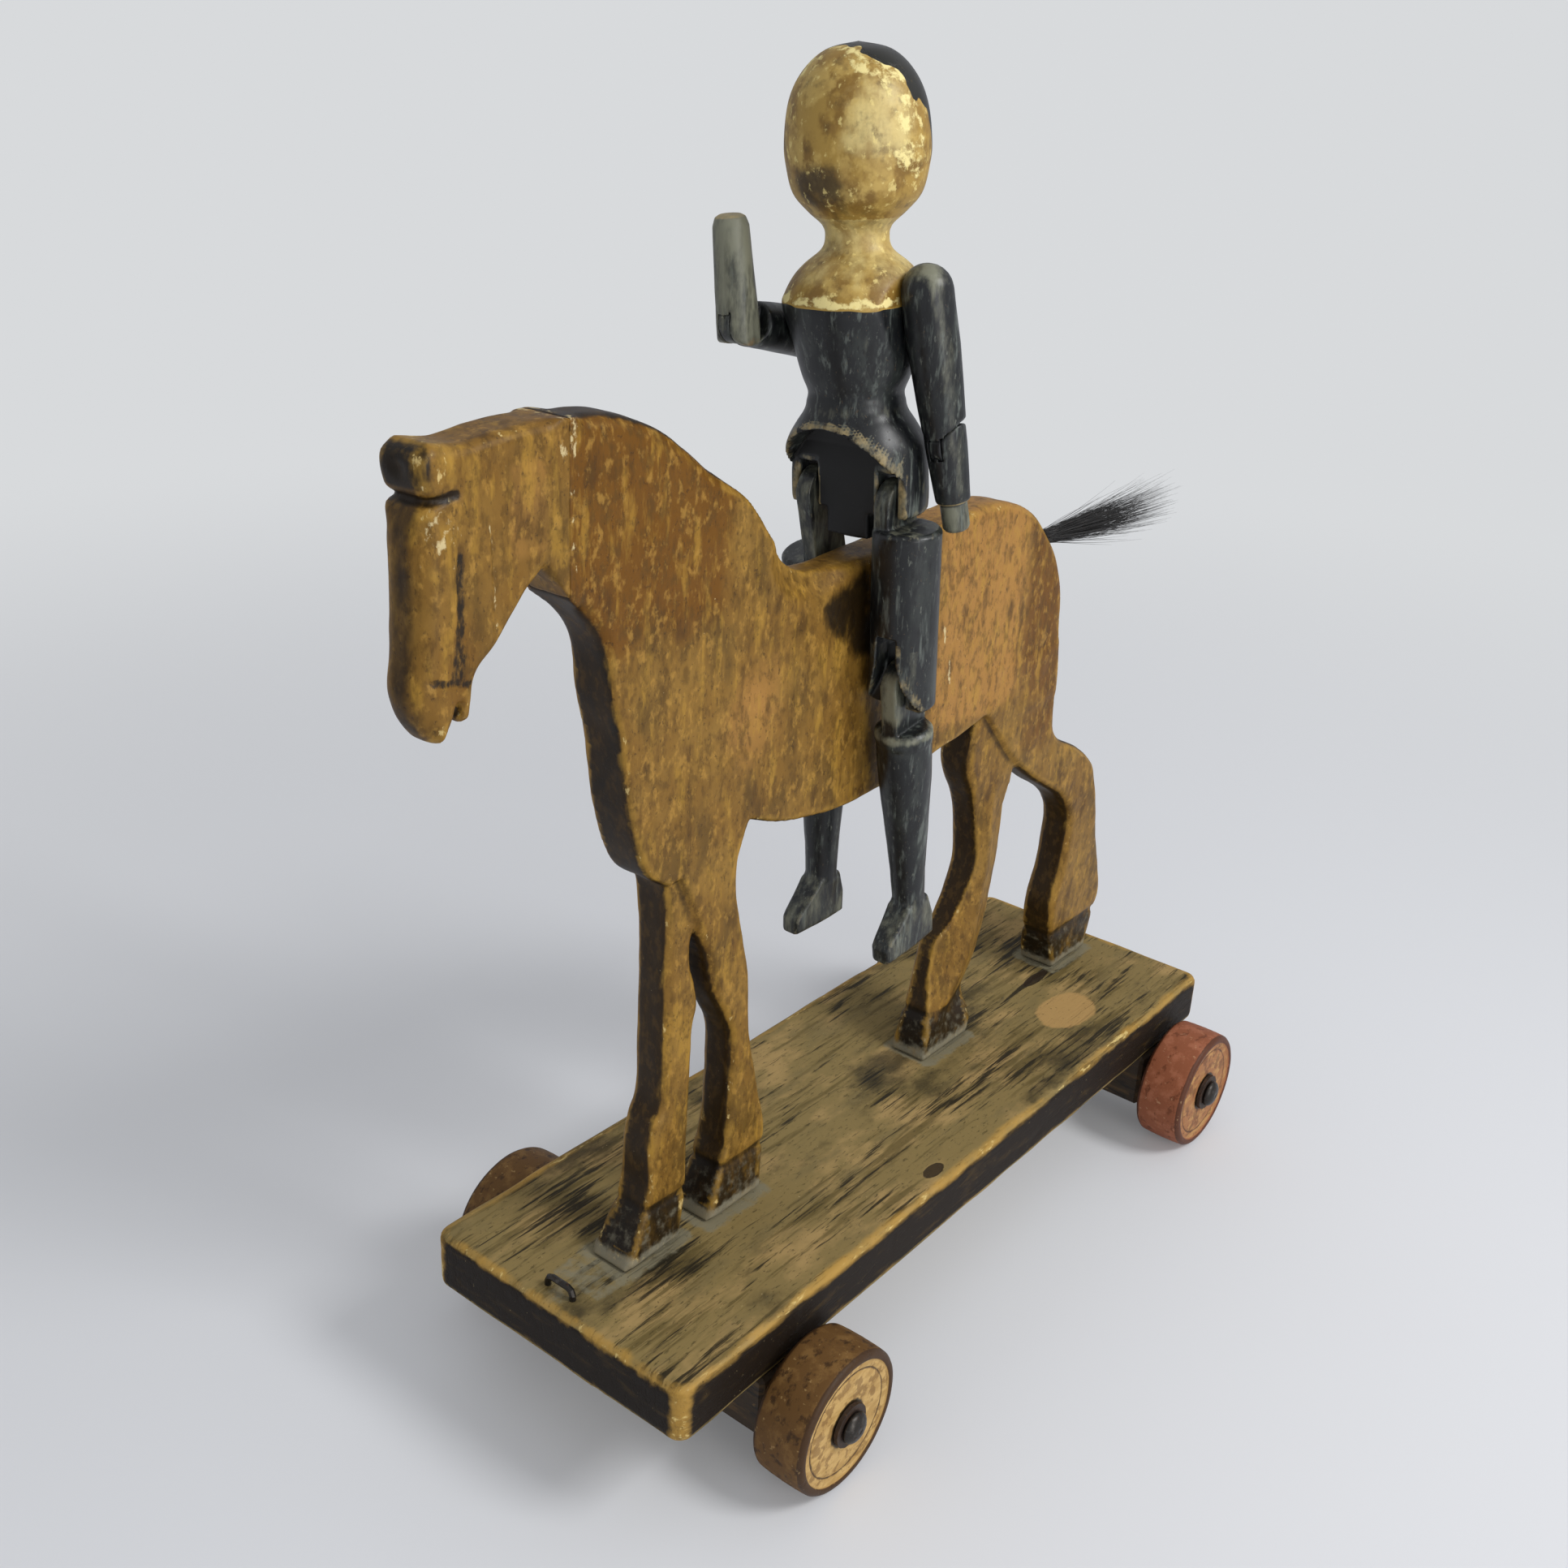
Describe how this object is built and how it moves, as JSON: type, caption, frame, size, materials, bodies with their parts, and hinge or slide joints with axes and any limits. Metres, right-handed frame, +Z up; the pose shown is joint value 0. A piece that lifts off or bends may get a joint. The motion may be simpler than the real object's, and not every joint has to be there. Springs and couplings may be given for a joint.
{
  "type": "horse pull toy",
  "caption": "Painted plank horse on a wheeled board with a jointed turned-wood rider, horsehair tail and a wire staple for a pull cord.",
  "frame": {"origin": "on the floor, under the middle of the overall box", "axes": "+X towards the horse's nose, +Y to the horse's left, +Z up"},
  "size_m": [0.2766, 0.1206, 0.3059],
  "materials": {
    "deck_wood": "worn dark paint over bare yellowish board",
    "horse_wood": "aged brown and gold varnished paint, worn at the edges",
    "wheel_wood": "worn red-brown tread, ochre faces",
    "bare_wood": "bare dowel",
    "black_paint": "worn black paint, gilt head and chest",
    "iron": "dark oiled iron",
    "leather": "dark hard leather",
    "horsehair": "coarse black hair"
  },
  "bodies": {
    "horse_and_board": {"base_board": "deck_wood", "front_axle_block": "deck_wood", "rear_axle_block": "deck_wood", "front_axle_block_nail_left": "iron", "front_axle_block_nail_right": "iron", "rear_axle_block_nail_left": "iron", "rear_axle_block_nail_right": "iron", "front_left_axle_nail": "iron", "front_right_axle_nail": "iron", "rear_left_axle_nail": "iron", "rear_right_axle_nail": "iron", "front_left_hub_washer": "iron", "front_right_hub_washer": "iron", "rear_left_hub_washer": "iron", "rear_right_hub_washer": "iron", "front_left_spacer_washer": "leather", "front_right_spacer_washer": "leather", "rear_left_spacer_washer": "leather", "rear_right_spacer_washer": "leather", "pull_staple": "iron", "horse_body": "horse_wood", "horse_head": "horse_wood", "neck_dowel_lower": "bare_wood", "neck_dowel_upper": "bare_wood", "left_fore_hoof_dowel": "bare_wood", "right_fore_hoof_dowel": "bare_wood", "left_hind_hoof_dowel": "bare_wood", "right_hind_hoof_dowel": "bare_wood", "tail_hair": "horsehair", "tail_peg": "bare_wood"},
    "front_left_wheel": {"front_left_wheel": "wheel_wood"},
    "front_right_wheel": {"front_right_wheel": "wheel_wood"},
    "rear_left_wheel": {"rear_left_wheel": "wheel_wood"},
    "rear_right_wheel": {"rear_right_wheel": "wheel_wood"},
    "rider": {"rider_torso": "black_paint", "hip_peg_left": "bare_wood", "hip_peg_right": "bare_wood", "shoulder_peg_left": "bare_wood", "shoulder_peg_right": "bare_wood"},
    "left_upper_arm": {"left_upper_arm": "black_paint", "left_elbow_peg": "bare_wood"},
    "right_upper_arm": {"right_upper_arm": "black_paint", "right_elbow_peg": "bare_wood"},
    "left_forearm": {"left_forearm": "black_paint"},
    "right_forearm": {"right_forearm": "black_paint"},
    "left_thigh": {"left_thigh": "black_paint", "left_knee_peg": "bare_wood"},
    "right_thigh": {"right_thigh": "black_paint", "right_knee_peg": "bare_wood"},
    "left_lower_leg": {"left_lower_leg": "black_paint"},
    "right_lower_leg": {"right_lower_leg": "black_paint"}
  },
  "joints": [
    {"name": "front_left_wheel_spin", "type": "hinge", "parent": "horse_and_board", "child": "front_left_wheel", "pos_m": [0.06578, 0.04985, 0.0181], "axis": [0, 1, 0], "continuous": true},
    {"name": "front_right_wheel_spin", "type": "hinge", "parent": "horse_and_board", "child": "front_right_wheel", "pos_m": [0.06578, -0.04985, 0.0181], "axis": [0, 1, 0], "continuous": true},
    {"name": "rear_left_wheel_spin", "type": "hinge", "parent": "horse_and_board", "child": "rear_left_wheel", "pos_m": [-0.11542, 0.04985, 0.0181], "axis": [0, 1, 0], "continuous": true},
    {"name": "rear_right_wheel_spin", "type": "hinge", "parent": "horse_and_board", "child": "rear_right_wheel", "pos_m": [-0.11542, -0.04985, 0.0181], "axis": [0, 1, 0], "continuous": true},
    {"name": "rider_lift", "type": "slide", "parent": "horse_and_board", "child": "rider", "axis": [0, 0, 1], "range_m": [0, 0.12]},
    {"name": "left_shoulder", "type": "hinge", "parent": "rider", "child": "left_upper_arm", "pos_m": [0.0061, 0.01642, 0.24741], "axis": [-0.0018, -0.9992, -0.0401], "range_deg": [-150, 0]},
    {"name": "right_shoulder", "type": "hinge", "parent": "rider", "child": "right_upper_arm", "pos_m": [0.00603, -0.01915, 0.24598], "axis": [-0.0018, -0.9992, -0.0401], "range_deg": [-70, 40]},
    {"name": "left_elbow", "type": "hinge", "parent": "left_upper_arm", "child": "left_forearm", "pos_m": [0.00203, 0.01894, 0.22655], "axis": [-0.0167, -0.993, -0.1169], "range_deg": [-95, 0]},
    {"name": "right_elbow", "type": "hinge", "parent": "right_upper_arm", "child": "right_forearm", "pos_m": [0.02708, -0.02046, 0.2496], "axis": [-0.0533, -0.9974, -0.049], "range_deg": [-74, 20]},
    {"name": "left_hip", "type": "hinge", "parent": "rider", "child": "left_thigh", "pos_m": [0.00808, 0.01435, 0.21294], "axis": [0, -1, 0], "range_deg": [-5, 80]},
    {"name": "right_hip", "type": "hinge", "parent": "rider", "child": "right_thigh", "pos_m": [0.00808, -0.01435, 0.21206], "axis": [0, -1, 0], "range_deg": [-5, 90]},
    {"name": "left_knee", "type": "hinge", "parent": "left_thigh", "child": "left_lower_leg", "pos_m": [0.00478, 0.01435, 0.17057], "axis": [0, 1, 0], "range_deg": [-30, 85]},
    {"name": "right_knee", "type": "hinge", "parent": "right_thigh", "child": "right_lower_leg", "pos_m": [-0.00383, -0.01435, 0.16763], "axis": [0, 1, 0], "range_deg": [-15, 100]}
  ]
}
